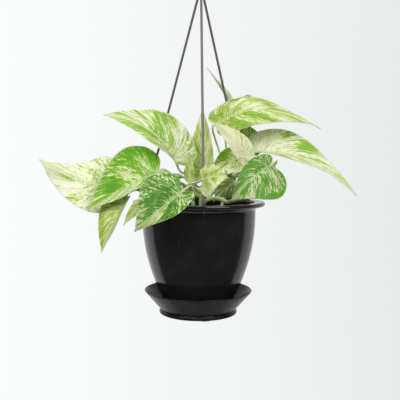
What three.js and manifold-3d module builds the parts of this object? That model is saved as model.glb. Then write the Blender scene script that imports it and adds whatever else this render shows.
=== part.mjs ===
// A potted golden pothos (marble form) in a black plastic hanging pot with a saucer and a
// three-arm hanger that ends in a hook. Millimetres, +Z up.
// Every piece is placed from the middle of the pot's rim, and the whole object is then
// lowered so that its origin is the inside top of the hook, where it hangs.

import * as THREE from 'three';
import { mergeVertices } from 'three/addons/utils/BufferGeometryUtils.js';
import Module from 'manifold-3d';

const wasm = await Module();
wasm.setup();

// ---- Driving dimensions -------------------------------------------------------------

const GAP = 0.3;                 // clearance between pieces that touch
const ROUND = 40;                // segments round the pot and the saucer

const RIM_RADIUS = 75;           // outer edge of the pot's lip
const LIP_HALF = 2.2;            // half the thickness of the lip
const NECK_RADIUS = 64.3;         // body just under the lip
const WALL = 2.0;                // pot wall
const POT_FOOT_RADIUS = 35;
const POT_FOOT_Z = -118.5;
const DRAIN_RADIUS = 3;          // drain holes in the floor of the pot
const DRAIN_CIRCLE = 18;
const DRAIN_COUNT = 6;

const SAUCER_RADIUS = 61.3;
const SAUCER_RIM_Z = -99.4;
const SAUCER_WALL = 1.8;
const SAUCER_NECK_RADIUS = 43;   // where the cone meets the foot ring
const FOOT_RING_RADIUS = 44.5;
const FOOT_RING_INSIDE = 37;
const FOOT_RING_TOP_Z = -122;
const FOOT_RING_Z = -125.8;
const FOOT_HEIGHT = 0.8;         // three small feet under the foot ring
const FOOT_LENGTH = 9;
const FOOT_WIDTH = 4;

const SOIL_Z = -17;              // edge of the potting mix
const SOIL_CROWN = 4;            // how far the middle stands above the edge

const ARM_RADIUS = 1.35;
const ARM_CIRCLE = 71;           // where the arms pass through the lip
const ARM_START_ANGLE = 4;       // degrees from the front towards +X
const ARM_COUNT = 3;
const ARM_END_Z = -7.5;          // tip of the barb under the lip
const BARB_RADIUS = 2.2;
const COLLAR_RADIUS = 2;         // thicker foot of an arm, on top of the lip
const COLLAR_TOP_Z = 12;
const HUB_Z = 242;               // where the arms' centre lines meet
const HUB_RADIUS = 7;
const HUB_BOTTOM_Z = 232;
const HUB_TOP_Z = 250;

const HOOK_RADIUS = 15;          // centre line of the hook's bend
const HOOK_THICKNESS = 4.6;
const HOOK_CENTRE_Z = 278;
const SADDLE_Z = HOOK_CENTRE_Z + HOOK_RADIUS - HOOK_THICKNESS / 2;

const LEAF_THICKNESS = 1.0;
const PETIOLE_RADIUS = 1.2;
const VINE_RADIUS = 2.4;
const STEM_CLEARANCE = 1.8;      // a leaning stem starts this far above the potting mix
const STALK_CLEARANCE = 3;       // a stalk stops this far short of the blade, inside its notch
const STALK_LEAD = 8;            // the last stretch of a stalk runs in line with the midrib

// ---- Materials ----------------------------------------------------------------------

const finish = (color, roughness, metalness = 0) =>
  new THREE.MeshStandardMaterial({ color, roughness, metalness });

const POT_BLACK = finish(0x211f1f, 0.3);
const SAUCER_BLACK = finish(0x2a2b2e, 0.4);
const HANGER_GREY = finish(0x4a4546, 0.45);
const SOIL_BROWN = finish(0x33251b, 0.95);
const VINE_GREEN = finish(0x9cb85a, 0.5);
const LEAF_GREEN = finish(0x5fa62c, 0.35);
const LEAF_CREAM = finish(0xe6ecc4, 0.35);
const LEAF_MARBLED = finish(0x9cc563, 0.35);

// ---- Closed meshes, joins and cuts --------------------------------------------------

function toManifold(geometry) {
  const bare = geometry.clone();
  bare.deleteAttribute('normal');
  bare.deleteAttribute('uv');
  const merged = mergeVertices(bare, 1e-4);
  const vertProperties = new Float32Array(merged.attributes.position.array);
  const triVerts = new Uint32Array(merged.index.array);
  return new wasm.Manifold(new wasm.Mesh({ numProp: 3, vertProperties, triVerts }));
}

function fromManifold(solid) {
  const mesh = solid.getMesh();
  const geometry = new THREE.BufferGeometry();
  geometry.setAttribute('position', new THREE.BufferAttribute(mesh.vertProperties, 3));
  geometry.setIndex(new THREE.BufferAttribute(mesh.triVerts, 1));
  geometry.computeVertexNormals();
  return geometry;
}

const join = (geometries) =>
  fromManifold(geometries.map(toManifold).reduce((whole, next) => whole.add(next)));

const cut = (geometry, tools) =>
  fromManifold(tools.map(toManifold).reduce((rest, tool) => rest.subtract(tool), toManifold(geometry)));

// ---- Shapes -------------------------------------------------------------------------

// A closed profile of [radius, height] points, turned about +Z.
function turned(profile, segments = ROUND) {
  const points = profile.map(([radius, height]) => new THREE.Vector2(radius, height));
  const geometry = new THREE.LatheGeometry(points, segments);
  geometry.rotateX(Math.PI / 2);
  return geometry;
}

function rod(curve, radius, steps, sides = 8) {
  const section = new THREE.Shape();
  for (let side = 0; side < sides; side += 1) {
    const angle = (2 * Math.PI * side) / sides;
    const x = radius * Math.cos(angle);
    const y = radius * Math.sin(angle);
    if (side === 0) section.moveTo(x, y);
    else section.lineTo(x, y);
  }
  section.closePath();
  return new THREE.ExtrudeGeometry(section, { steps, bevelEnabled: false, extrudePath: curve });
}

const vector = (point) => new THREE.Vector3(...point);

const smooth = (points) => new THREE.CatmullRomCurve3(points, false, 'centripetal');

// A cylinder or cone from one point to another.
function taper(start, end, startRadius, endRadius, sides = 16) {
  const length = start.distanceTo(end);
  const geometry = new THREE.CylinderGeometry(endRadius, startRadius, length, sides);
  const direction = end.clone().sub(start).normalize();
  const turn = new THREE.Quaternion().setFromUnitVectors(new THREE.Vector3(0, 1, 0), direction);
  geometry.applyQuaternion(turn);
  geometry.translate(...start.clone().add(end).multiplyScalar(0.5));
  return geometry;
}

// ---- Pot ----------------------------------------------------------------------------

// Outside of the pot's body, from the neck down to the foot.
const POT_BODY = [
  [NECK_RADIUS, -14],
  [63.7, -30],
  [61.4, -48],
  [57.9, -64],
  [53, -80],
  [46.4, -97],
  [41, -108],
  [POT_FOOT_RADIUS + 1.5, -116],
  [POT_FOOT_RADIUS, POT_FOOT_Z],
];

function armAxis(index) {
  const angle = THREE.MathUtils.degToRad(ARM_START_ANGLE + (360 / ARM_COUNT) * index);
  const foot = new THREE.Vector3(ARM_CIRCLE * Math.sin(angle), -ARM_CIRCLE * Math.cos(angle), 0);
  const meeting = new THREE.Vector3(0, 0, HUB_Z);
  const along = meeting.clone().sub(foot).normalize();
  const at = (height) => foot.clone().addScaledVector(along, height / along.z);
  return { angle, at };
}

function makePot() {
  const outside = [[RIM_RADIUS - 1.2, -LIP_HALF], [NECK_RADIUS + 2, -4.2], [NECK_RADIUS, -6.5], ...POT_BODY];
  const inside = POT_BODY.slice(0, -2).reverse().map(([radius, height]) => [radius - WALL, height]);
  const profile = [
    [0, POT_FOOT_Z + WALL + 1],
    [POT_FOOT_RADIUS - 2, POT_FOOT_Z + WALL + 1],
    ...inside,
    [NECK_RADIUS - WALL, 0],
    [NECK_RADIUS - WALL + 1, LIP_HALF - 0.4],
    [RIM_RADIUS - 1.2, LIP_HALF],
    [RIM_RADIUS, 0.8],
    [RIM_RADIUS, -0.8],
    ...outside,
    [0, POT_FOOT_Z],
  ].reverse();
  const armHoles = Array.from({ length: ARM_COUNT }, (_, index) => {
    const axis = armAxis(index);
    return taper(axis.at(-6), axis.at(6), ARM_RADIUS + GAP, ARM_RADIUS + GAP);
  });
  const drainHoles = Array.from({ length: DRAIN_COUNT }, (_, index) => {
    const angle = (2 * Math.PI * index) / DRAIN_COUNT;
    const x = DRAIN_CIRCLE * Math.cos(angle);
    const y = DRAIN_CIRCLE * Math.sin(angle);
    const below = new THREE.Vector3(x, y, POT_FOOT_Z - 2);
    const above = new THREE.Vector3(x, y, POT_FOOT_Z + WALL + 4);
    return taper(below, above, DRAIN_RADIUS, DRAIN_RADIUS);
  });
  return cut(turned(profile), [...armHoles, ...drainHoles]);
}

// ---- Saucer -------------------------------------------------------------------------

function makeSaucer() {
  const floorTop = POT_FOOT_Z - GAP;
  const dish = turned([
    [0, FOOT_RING_TOP_Z],
    [FOOT_RING_INSIDE, FOOT_RING_TOP_Z],
    [FOOT_RING_INSIDE, FOOT_RING_Z],
    [FOOT_RING_RADIUS - 1, FOOT_RING_Z],
    [FOOT_RING_RADIUS, FOOT_RING_Z + 0.8],
    [FOOT_RING_RADIUS - 0.3, FOOT_RING_TOP_Z],
    [SAUCER_NECK_RADIUS, FOOT_RING_TOP_Z + 0.9],
    [SAUCER_RADIUS - 0.4, SAUCER_RIM_Z - 1.2],
    [SAUCER_RADIUS, SAUCER_RIM_Z - 0.3],
    [SAUCER_RADIUS - 1, SAUCER_RIM_Z + 0.3],
    [SAUCER_RADIUS - SAUCER_WALL - 0.6, SAUCER_RIM_Z - 0.6],
    [SAUCER_NECK_RADIUS + 0.2, floorTop],
    [0, floorTop],
  ]);
  const feet = Array.from({ length: 3 }, (_, index) => {
    const foot = new THREE.BoxGeometry(FOOT_LENGTH, FOOT_WIDTH, FOOT_HEIGHT + 1);
    const middle = (FOOT_RING_INSIDE + FOOT_RING_RADIUS - 1) / 2;
    foot.translate(0, -middle, FOOT_RING_Z - FOOT_HEIGHT + (FOOT_HEIGHT + 1) / 2);
    foot.rotateZ(THREE.MathUtils.degToRad(12 + 120 * index));
    return foot;
  });
  return join([dish, ...feet]);
}

// ---- Potting mix --------------------------------------------------------------------

const soilTop = (radius) => SOIL_Z + SOIL_CROWN * (1 - (radius / NECK_RADIUS) ** 2);

function makePottingMix() {
  const shrink = WALL + GAP;
  const side = POT_BODY.slice(1, -2).reverse().map(([radius, height]) => [radius - shrink, height]);
  const edge = NECK_RADIUS - shrink - 0.3;
  const crown = [edge, edge * 0.75, edge * 0.5, edge * 0.25, 0].map((radius) => [radius, soilTop(radius)]);
  const bottom = POT_FOOT_Z + WALL + 1 + GAP;
  return turned([[0, bottom], [POT_FOOT_RADIUS - 2.5, bottom], ...side, ...crown], 36);
}

// ---- Hanger -------------------------------------------------------------------------

function makeArm(index) {
  const axis = armAxis(index);
  const hubFace = HUB_BOTTOM_Z - GAP - ARM_RADIUS * 0.3;
  const shaft = taper(axis.at(-LIP_HALF - 3), axis.at(hubFace), ARM_RADIUS, ARM_RADIUS, 12);
  const barb = taper(axis.at(-LIP_HALF - 2.4), axis.at(ARM_END_Z), BARB_RADIUS, 0.8, 12);
  const collar = taper(axis.at(LIP_HALF + 1), axis.at(COLLAR_TOP_Z), COLLAR_RADIUS, COLLAR_RADIUS, 12);
  return join([shaft, barb, collar]);
}

function makeHook() {
  const bend = Array.from({ length: 12 }, (_, step) => {
    const angle = THREE.MathUtils.degToRad(-40 + (step * 260) / 11);
    return [HOOK_RADIUS * Math.cos(angle), 0, HOOK_CENTRE_Z + HOOK_RADIUS * Math.sin(angle)];
  });
  const shank = [[0, 0, HUB_TOP_Z - 4], [0, 0, HUB_TOP_Z + 3], [3.5, 0, HUB_TOP_Z + 11]];
  const path = smooth([...shank, ...bend].map(vector));
  const hub = turned([
    [0, HUB_BOTTOM_Z],
    [HUB_RADIUS - 1, HUB_BOTTOM_Z],
    [HUB_RADIUS, HUB_BOTTOM_Z + 1],
    [HUB_RADIUS, HUB_BOTTOM_Z + 7],
    [HUB_RADIUS - 3, HUB_TOP_Z - 1],
    [HUB_RADIUS - 4, HUB_TOP_Z],
    [0, HUB_TOP_Z],
  ], 24);
  return join([hub, rod(path, HOOK_THICKNESS / 2, 30, 10)]);
}

// ---- Leaves -------------------------------------------------------------------------

// The outline of a blade from the notch at the stalk to the tip. Each point is where a side
// vein ends: [where the vein leaves the midrib, how far out it ends, how far along it ends],
// as shares of the blade's length and half-width.
const OUTLINE = new THREE.CatmullRomCurve3(
  [
    [0, 0, 0], [0.006, 0.18, -0.065], [0.012, 0.37, -0.11], [0.02, 0.58, -0.09], [0.032, 0.77, -0.02],
    [0.048, 0.9, 0.08], [0.07, 0.98, 0.18], [0.1, 1, 0.28], [0.14, 0.95, 0.38], [0.19, 0.84, 0.48],
    [0.26, 0.7, 0.58], [0.35, 0.53, 0.68], [0.46, 0.35, 0.79], [0.6, 0.19, 0.88], [0.74, 0.08, 0.94],
    [0.88, 0.03, 0.98], [1, 0.02, 1],
  ].map(vector),
  false,
  'catmullrom',
);
const ROWS = [0.02, 0.09, 0.16, 0.23, 0.31, 0.39, 0.48, 0.57, 0.66, 0.75, 0.84, 0.92, 1];
const COLUMNS = [-1, -0.55, 0, 0.55, 1];

// Each leaf: where its stalk meets the blade, where its tip is, how far the middle of the
// midrib stands off the straight line between them, which way its upper side faces, the
// half-width and the upward fold (degrees) of its left and right halves as seen from the
// stalk, the fold at the tip where it differs, the reach of the lobes behind the stalk as a
// share of the usual, and the size of the waves in its edge.
const LEAVES = [
  { name: 'leaf_far_left', base: [-91, -4, 19], tip: [-179, -12, 48], bow: [0, 0, -8],
    face: [-0.1, -0.8, 0.6], half: [38, 42], fold: [0, 4],
    foldTip: [0, -40], wave: 1.5, material: LEAF_CREAM },
  { name: 'leaf_left', base: [-46, -25, 35], tip: [-119, -45, -7], bow: [0, 0, 3],
    face: [-0.3, -0.5, 0.8], half: [24, 43], fold: [10, 38], wave: 1.2, material: LEAF_GREEN },
  { name: 'leaf_left_hanging', base: [-80, -38, 5], tip: [-105, -42, -52], bow: [-1, -2, 0],
    face: [-0.4, -0.9, 0.2], half: [17, 22], fold: [50, 8], wave: 0.8, material: LEAF_GREEN },
  { name: 'leaf_left_small', base: [-61, -54, 3], tip: [-80, -55, -21], bow: [0, -1, 1],
    face: [-0.4, -0.8, 0.4], half: [7, 7], fold: [15, 15], wave: 0.3, material: LEAF_CREAM },
  { name: 'leaf_front_left', base: [-17, -78, 17], tip: [-65, -84, -24], bow: [-1, -3, 0],
    face: [0.0, -0.9, 0.4], half: [25, 37], fold: [35, -8],
    foldTip: [50, -8], wave: 0.8, material: LEAF_MARBLED },
  { name: 'leaf_upper_left', base: [-25, -4, 43], tip: [-108, -10, 98], bow: [8, 0, 13],
    face: [0.2, -0.7, 0.7], half: [26, 35], fold: [60, 12],
    foldTip: [-25, 12], lobe: 0.6, wave: 1.2, material: LEAF_CREAM },
  { name: 'leaf_centre_upright', base: [5, 20, 30], tip: [3, 18, 110], bow: [0, 0, 0],
    face: [-0.3, -0.9, 0.2], half: [17, 15], fold: [20, 20], wave: 0.8, material: LEAF_MARBLED },
  { name: 'leaf_upper_right', base: [21, 0, 90], tip: [135, -9, 85], bow: [-6, 0, 18],
    face: [0, -0.45, 0.9], half: [27, 30], fold: [28, -16],
    foldTip: [-10, -16], lobe: 0.5, wave: 1.2, material: LEAF_MARBLED },
  { name: 'leaf_cream_folded', base: [49, -46, 50], tip: [12, -58, 88], bow: [3, 0, 2],
    face: [0.15, -0.9, 0.45], half: [10, 15], fold: [10, 10], wave: 0.6, material: LEAF_CREAM },
  { name: 'leaf_right', base: [60, -2, 60], tip: [173, -26, 12], bow: [0, 0, 15],
    face: [0.2, -0.5, 0.85], half: [32, 17], fold: [30, 12],
    foldTip: [15, 12], wave: 1.2, lobe: 0.4, material: LEAF_CREAM },
  { name: 'leaf_front_right', base: [77, -39, 44], tip: [33, -64, 7], bow: [-2, -4, 3],
    face: [0.1, -0.9, 0.45], half: [35, 17], fold: [-5, 15], wave: 1, material: LEAF_MARBLED },
  { name: 'leaf_centre_front', base: [3, -70, 29], tip: [29, -86, 32], bow: [0, -3, 3],
    face: [-0.2, -0.9, 0.3], half: [13, 22], fold: [0, 5], wave: 0.6, material: LEAF_MARBLED },
  { name: 'leaf_centre_marbled', base: [48, -29, 52], tip: [12, -35, 38], bow: [-2, 0, 2],
    face: [-0.1, -0.8, 0.6], half: [18, 15], fold: [0, 20], wave: 0.8, material: LEAF_MARBLED },
  { name: 'leaf_top_unfurling', base: [38, 32, 106], tip: [8, 34, 157], bow: [4, 0, -2],
    face: [0.6, -0.6, 0.5], half: [8, 8], fold: [60, 60], lobe: 0.3, wave: 0.3, material: LEAF_CREAM },
  { name: 'leaf_right_behind', base: [60, 22, 58], tip: [45, 20, 93], bow: [3, 0, 2],
    face: [0, -0.9, 0.4], half: [15, 15], fold: [10, 10], wave: 0.6, material: LEAF_GREEN },
  { name: 'leaf_small_blade', base: [-10, -14, 26], tip: [-7, -14, 54], bow: [-2, 0, 0],
    face: [-0.3, -0.9, 0.1], half: [7, 7], fold: [25, 25], wave: 0.3, material: LEAF_GREEN },
  { name: 'leaf_centre_shaded', base: [40, -33, 26], tip: [15, -41, 4], bow: [0, -2, 2],
    face: [-0.2, -0.7, 0.7], half: [14, 14], fold: [15, 15], wave: 0.6, material: LEAF_GREEN },
  { name: 'leaf_back_left', base: [-34, 50, 28], tip: [-92, 92, 12], bow: [0, 0, 8],
    face: [-0.2, 0.3, 0.9], half: [25, 25], fold: [12, 12], wave: 1.5, material: LEAF_MARBLED },
  { name: 'leaf_back', base: [2, 55, 12], tip: [4, 120, -16], bow: [0, 0, 8],
    face: [0.1, 0.4, 0.9], half: [27, 27], fold: [12, 12], wave: 1.5, material: LEAF_GREEN },
  { name: 'leaf_back_right', base: [30, 54, 28], tip: [86, 104, 10], bow: [0, 0, 9],
    face: [0.2, 0.3, 0.9], half: [26, 26], fold: [12, 12], wave: 1.5, material: LEAF_CREAM },
  { name: 'leaf_back_hanging_left', base: [-41, 74, 11], tip: [-52, 94, -44], bow: [-1, 6, 3],
    face: [-0.3, 0.9, 0.3], half: [19, 19], fold: [10, 10], wave: 1, material: LEAF_MARBLED },
  { name: 'leaf_back_hanging_right', base: [46, 71, 10], tip: [46, 94, -48], bow: [1, 6, 3],
    face: [0.2, 0.9, 0.3], half: [20, 20], fold: [10, 10], wave: 1, material: LEAF_GREEN },
];

function midrib(leaf) {
  const base = vector(leaf.base);
  const tip = vector(leaf.tip);
  const middle = base.clone().add(tip).multiplyScalar(0.5).addScaledVector(vector(leaf.bow), 2);
  return new THREE.QuadraticBezierCurve3(base, middle, tip);
}

// A point of the blade's middle surface: share picks the side vein, from the notch (0) to the
// tip (1), and across runs from the left edge (-1) to the right edge (1). Also gives the
// direction that its upper side faces.
function bladePoint(leaf, rib, length, share, across) {
  const vein = OUTLINE.getPoint(share);
  const side = across < 0 ? 0 : 1;
  const reach = Math.abs(across);
  const end = vein.z < 0 ? vein.z * (leaf.lobe ?? 1) : vein.z;
  const along = vein.x + (end - vein.x) * reach ** 1.5;
  const out = reach ** 0.85 * vein.y * leaf.half[side];
  const forward = Math.max(along, 0);
  const tangent = rib.getTangent(forward);
  const up = vector(leaf.face);
  up.addScaledVector(tangent, -up.dot(tangent)).normalize();
  const right = tangent.clone().cross(up);
  const foldTip = (leaf.foldTip ?? leaf.fold)[side];
  const lean = THREE.MathUtils.degToRad(leaf.fold[side] + (foldTip - leaf.fold[side]) * forward);
  const wave = leaf.wave * Math.sin(2 * Math.PI * (2.2 * share + 0.3 * side)) * reach * reach;
  const point = rib.getPoint(forward);
  point.addScaledVector(tangent, Math.min(along, 0) * length);
  point.addScaledVector(right, Math.sign(across) * out * Math.cos(lean));
  point.addScaledVector(up, out * Math.sin(lean) + wave * Math.min(1, 4 * (1 - forward)));
  return { point, up };
}

function makeBlade(leaf) {
  const rib = midrib(leaf);
  const length = rib.getLength();
  const positions = [];
  for (const side of [1, -1]) {
    for (const share of ROWS) {
      for (const across of COLUMNS) {
        const { point, up } = bladePoint(leaf, rib, length, share, across);
        point.addScaledVector(up, (side * LEAF_THICKNESS) / 2);
        positions.push(point.x, point.y, point.z);
      }
    }
  }
  const width = COLUMNS.length;
  const sheet = ROWS.length * width;
  const index = [];
  const quad = (a, b, c, d) => index.push(a, b, c, a, c, d);
  for (let row = 0; row + 1 < ROWS.length; row += 1) {
    for (let column = 0; column + 1 < width; column += 1) {
      const a = row * width + column;
      quad(a, a + 1, a + width + 1, a + width);
      quad(sheet + a, sheet + a + width, sheet + a + width + 1, sheet + a + 1);
    }
  }
  const edge = [
    ...COLUMNS.map((_, column) => column),
    ...ROWS.slice(1).map((_, row) => (row + 2) * width - 1),
    ...COLUMNS.slice(1).map((_, column) => sheet - 2 - column),
    ...ROWS.slice(1).map((_, row) => sheet - (row + 2) * width),
  ];
  for (let step = 0; step + 1 < edge.length; step += 1) {
    quad(edge[step], sheet + edge[step], sheet + edge[step + 1], edge[step + 1]);
  }
  const geometry = new THREE.BufferGeometry();
  geometry.setAttribute('position', new THREE.Float32BufferAttribute(positions, 3));
  geometry.setIndex(index);
  geometry.computeVertexNormals();
  return geometry;
}

// ---- Vines --------------------------------------------------------------------------

// Each vine: the points of its stem, from the potting mix up, and the stalks it carries.
// A stalk leaves the stem at a share of its length and passes over the given point.
const VINES = [
  { name: 'vine_left', stem: [[-22, -8], [-30, -12, 4], [-40, -16, 16]],
    stalks: [
      { leaf: 'leaf_far_left', from: 1, over: [-62, -8, 12] },
      { leaf: 'leaf_left', from: 0.4, over: [-26, -16, 26] },
      { leaf: 'leaf_left_hanging', from: 1, over: [-62, -28, 17] },
    ] },
  { name: 'vine_front_left', stem: [[-8, -30], [-12, -42, -2], [-16, -52, 6]],
    stalks: [
      { leaf: 'leaf_front_left', from: 1, over: [-9, -64, 20] },
      { leaf: 'leaf_left_small', from: 1, over: [-42, -54, 14] },
      { leaf: 'leaf_centre_front', from: 0.7, over: [-12, -58, 22] },
    ] },
  { name: 'vine_centre', stem: [[-6, 8], [-7, 8, 6], [-6, 8, 22]],
    stalks: [
      { leaf: 'leaf_upper_left', from: 1, over: [-12, 3, 30] },
      { leaf: 'leaf_centre_upright', from: 1, over: [0, 15, 17] },
      { leaf: 'leaf_small_blade', from: 0.4, over: [-7, -3, 9] },
    ] },
  { name: 'vine_right', stem: [[24, 6], [30, 6, 8], [40, 4, 30]],
    stalks: [
      { leaf: 'leaf_upper_right', from: 0.8, over: [20, 8, 66] },
      { leaf: 'leaf_right', from: 1, over: [44, 3, 50] },
      { leaf: 'leaf_cream_folded', from: 1, over: [65, -24, 38] },
      { leaf: 'leaf_right_behind', from: 1, over: [54, 16, 38] },
      { leaf: 'leaf_top_unfurling', from: 1, over: [30, 22, 72] },
      { leaf: 'leaf_centre_shaded', from: 0.6, over: [45, -16, 28] },
      { leaf: 'leaf_centre_marbled', from: 1, over: [51, -12, 42] },
    ] },
  { name: 'vine_front_right', stem: [[2, -38], [6, -50, 4], [18, -57, 9], [30, -54, 5]],
    stalks: [
      { leaf: 'leaf_front_right', from: 1, over: [60, -34, 12] },
    ] },
  { name: 'vine_back', stem: [[2, 28], [2, 34, -2], [2, 38, 8]],
    stalks: [
      { leaf: 'leaf_back_left', from: 1, over: [-18, 38, 27] },
      { leaf: 'leaf_back', from: 1, over: [2, 44, 9] },
      { leaf: 'leaf_back_right', from: 1, over: [17, 42, 27] },
      { leaf: 'leaf_back_hanging_left', from: 0.8, over: [-28, 58, 16] },
      { leaf: 'leaf_back_hanging_right', from: 0.8, over: [33, 56, 15] },
    ] },
];

const leafNamed = (name) => LEAVES.find((leaf) => leaf.name === name);

function makeVine(vine) {
  const [[x, y], ...rest] = vine.stem;
  const foot = [x, y, soilTop(Math.hypot(x, y)) + STEM_CLEARANCE];
  const stemCurve = smooth([foot, ...rest].map(vector));
  const stem = rod(stemCurve, VINE_RADIUS, 5, 7);
  const stalks = vine.stalks.map(({ leaf, from, over }) => {
    const rib = midrib(leafNamed(leaf));
    const tangent = rib.getTangent(0);
    const lead = rib.getPoint(0).addScaledVector(tangent, -STALK_LEAD);
    const end = rib.getPoint(0).addScaledVector(tangent, -STALK_CLEARANCE);
    const start = stemCurve.getPointAt(from);
    return rod(smooth([start, vector(over), lead, end]), PETIOLE_RADIUS, 8, 5);
  });
  return join([stem, ...stalks]);
}

// ---- Assembly -----------------------------------------------------------------------

const plant = new THREE.Group();
const hanger = new THREE.Group();
const pottedPlant = new THREE.Group();

function addTo(group, name, geometry, material) {
  const mesh = new THREE.Mesh(geometry, material);
  mesh.name = name;
  group.add(mesh);
}

addTo(pottedPlant, 'pot', makePot(), POT_BLACK);
addTo(pottedPlant, 'saucer', makeSaucer(), SAUCER_BLACK);
addTo(pottedPlant, 'potting_mix', makePottingMix(), SOIL_BROWN);

['hanger_arm_front', 'hanger_arm_right', 'hanger_arm_left'].forEach((name, index) => {
  addTo(hanger, name, makeArm(index), HANGER_GREY);
});
addTo(hanger, 'hanger_hook', makeHook(), HANGER_GREY);

for (const vine of VINES) addTo(plant, vine.name, makeVine(vine), VINE_GREEN);
for (const leaf of LEAVES) addTo(plant, leaf.name, makeBlade(leaf), leaf.material);

pottedPlant.add(hanger, plant);
pottedPlant.position.z = -SADDLE_Z;

const object = new THREE.Group();
object.add(pottedPlant);

export default object;
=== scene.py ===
"""A variegated pothos in a black hanging pot: fine surfaces and materials round the CAD frame.

Shapes are worked out in millimetres from the middle of the pot's rim, as in the CAD, and
turned into metres in the frame by place().
"""
import math
import random

import bmesh
import bpy
from mathutils import Matrix, Vector, noise


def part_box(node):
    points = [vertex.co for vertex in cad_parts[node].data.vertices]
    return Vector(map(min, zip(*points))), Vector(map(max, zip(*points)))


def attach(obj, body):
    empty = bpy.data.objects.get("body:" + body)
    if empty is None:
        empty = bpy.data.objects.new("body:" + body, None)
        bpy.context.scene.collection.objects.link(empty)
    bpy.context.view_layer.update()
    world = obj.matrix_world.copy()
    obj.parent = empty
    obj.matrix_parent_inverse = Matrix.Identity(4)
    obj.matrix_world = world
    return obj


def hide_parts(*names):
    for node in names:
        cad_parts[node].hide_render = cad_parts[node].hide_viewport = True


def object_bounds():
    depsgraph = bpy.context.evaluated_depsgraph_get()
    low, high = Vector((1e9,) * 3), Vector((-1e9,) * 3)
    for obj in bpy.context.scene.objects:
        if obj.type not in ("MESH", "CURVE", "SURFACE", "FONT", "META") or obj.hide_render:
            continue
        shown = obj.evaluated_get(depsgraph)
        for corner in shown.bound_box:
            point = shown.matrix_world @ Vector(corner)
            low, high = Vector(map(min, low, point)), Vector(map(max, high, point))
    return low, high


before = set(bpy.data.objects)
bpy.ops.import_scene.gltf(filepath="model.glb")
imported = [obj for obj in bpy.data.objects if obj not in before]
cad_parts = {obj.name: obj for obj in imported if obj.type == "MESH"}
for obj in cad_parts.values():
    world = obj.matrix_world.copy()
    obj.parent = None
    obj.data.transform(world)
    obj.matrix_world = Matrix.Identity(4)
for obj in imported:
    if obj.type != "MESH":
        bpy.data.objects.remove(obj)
CAD_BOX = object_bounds()

# ---- Driving dimensions, in millimetres from the middle of the rim -------------------

MM = 0.001                      # metres in a millimetre
CM = 10                         # millimetres in a centimetre, the unit of the marbling
LIP_HALF = 2.2
RIM_RADIUS = 75
NECK_RADIUS = 64.3              # outside of the wall, just under the lip
POT_FOOT_RADIUS = 35
WALL = 2.0
DRAIN_RADIUS = 3
DRAIN_CIRCLE = 18
DRAIN_COUNT = 6
SAUCER_RADIUS = 61.4
SAUCER_NECK_RADIUS = 43         # where the saucer's cone meets its floor
SAUCER_GAP = 0.3                # between the pot's foot and the saucer's floor
FOOT_RING_RADIUS = 44.5
FOOT_RING_INSIDE = 37
FOOT_RING_Z = -125.8
FOOT_COUNT = 3
FOOT_CIRCLE = 40.25
FOOT_SIZE = (9, 4, 1.8)         # round, across and up
FOOT_START_ANGLE = 12
SOIL_Z = -17                    # potting mix at the wall
SOIL_CROWN = 4                  # how much higher it is in the middle
CRUMB_CIRCLE = 57               # bark and perlite lie inside this radius
ARM_RADIUS = 1.35
COLLAR_RADIUS = 2               # thicker foot of an arm, on top of the lip
ARM_COUNT = 3
ARM_CIRCLE = 71
ARM_START_ANGLE = 4
ARM_BELOW_LIP = 7.5
HUB_RADIUS = 7
HUB_BOTTOM_Z = 232
HUB_Z = 242                     # where the arms would meet
HUB_TOP_Z = 250
HOOK_RADIUS = 15
HOOK_THICKNESS = 4.6
STALK_LEAD = 8                  # straight end of a stalk, before its leaf

RIM_CENTRE = Vector((0, 0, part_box("pot")[1][2] - LIP_HALF * MM))
POT_FOOT_Z = (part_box("pot")[0][2] - RIM_CENTRE.z) / MM
FOOT_BOTTOM_Z = (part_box("saucer")[0][2] - RIM_CENTRE.z) / MM
HOOK_CENTRE_Z = -RIM_CENTRE.z / MM - HOOK_RADIUS + HOOK_THICKNESS / 2

ROUND = 160                     # segments round the pot and the saucer
LEAF_ROWS = 72                  # rows of points from a leaf's stalk to its tip
LEAF_HALF_COLUMNS = 22          # columns of points on each side of its midrib


def place(point):
    """A point in millimetres from the middle of the rim, in metres in the frame."""
    return Vector(point) * MM + RIM_CENTRE


def round_axis(radius, angle, height):
    """A point in millimetres at a radius and an angle round the pot's axis."""
    return Vector((radius * math.cos(angle), radius * math.sin(angle), height))


# ---- Mesh helpers -------------------------------------------------------------------


def add_object(name, mesh, smooth=True):
    piece = bpy.data.objects.new(name, mesh)
    bpy.context.scene.collection.objects.link(piece)
    if smooth:
        mesh.polygons.foreach_set("use_smooth", [True] * len(mesh.polygons))
    return piece


def add_form(name, form):
    """An object from points in millimetres and the faces between them."""
    points, faces = form
    mesh = bpy.data.meshes.new(name)
    mesh.from_pydata([tuple(place(point)) for point in points], [], faces)
    mesh.update()
    return add_object(name, mesh)


def finish_piece(piece, node, material):
    """Give a piece its material and its body, and hide the CAD node it stands for, if any."""
    piece.data.materials.append(material)
    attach(piece, "root")
    if node:
        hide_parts(node)
    return piece


def make_piece(name, form, node, material):
    return finish_piece(add_form(name, form), node, material)


def catmull(points, count):
    """Points evenly spaced in parameter on a smooth curve through the given ones."""
    points = [Vector(point) for point in points]
    ends = [2 * points[0] - points[1]] + points + [2 * points[-1] - points[-2]]
    spans = len(points) - 1
    route = []
    for step in range(count):
        position = step / (count - 1) * spans
        span = min(int(position), spans - 1)
        t = position - span
        a, b, c, d = ends[span : span + 4]
        squared = 2 * a - 5 * b + 4 * c - d
        cubed = 3 * b - a - 3 * c + d
        route.append(0.5 * ((2 * b) + (c - a) * t + squared * t**2 + cubed * t**3))
    return route


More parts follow.
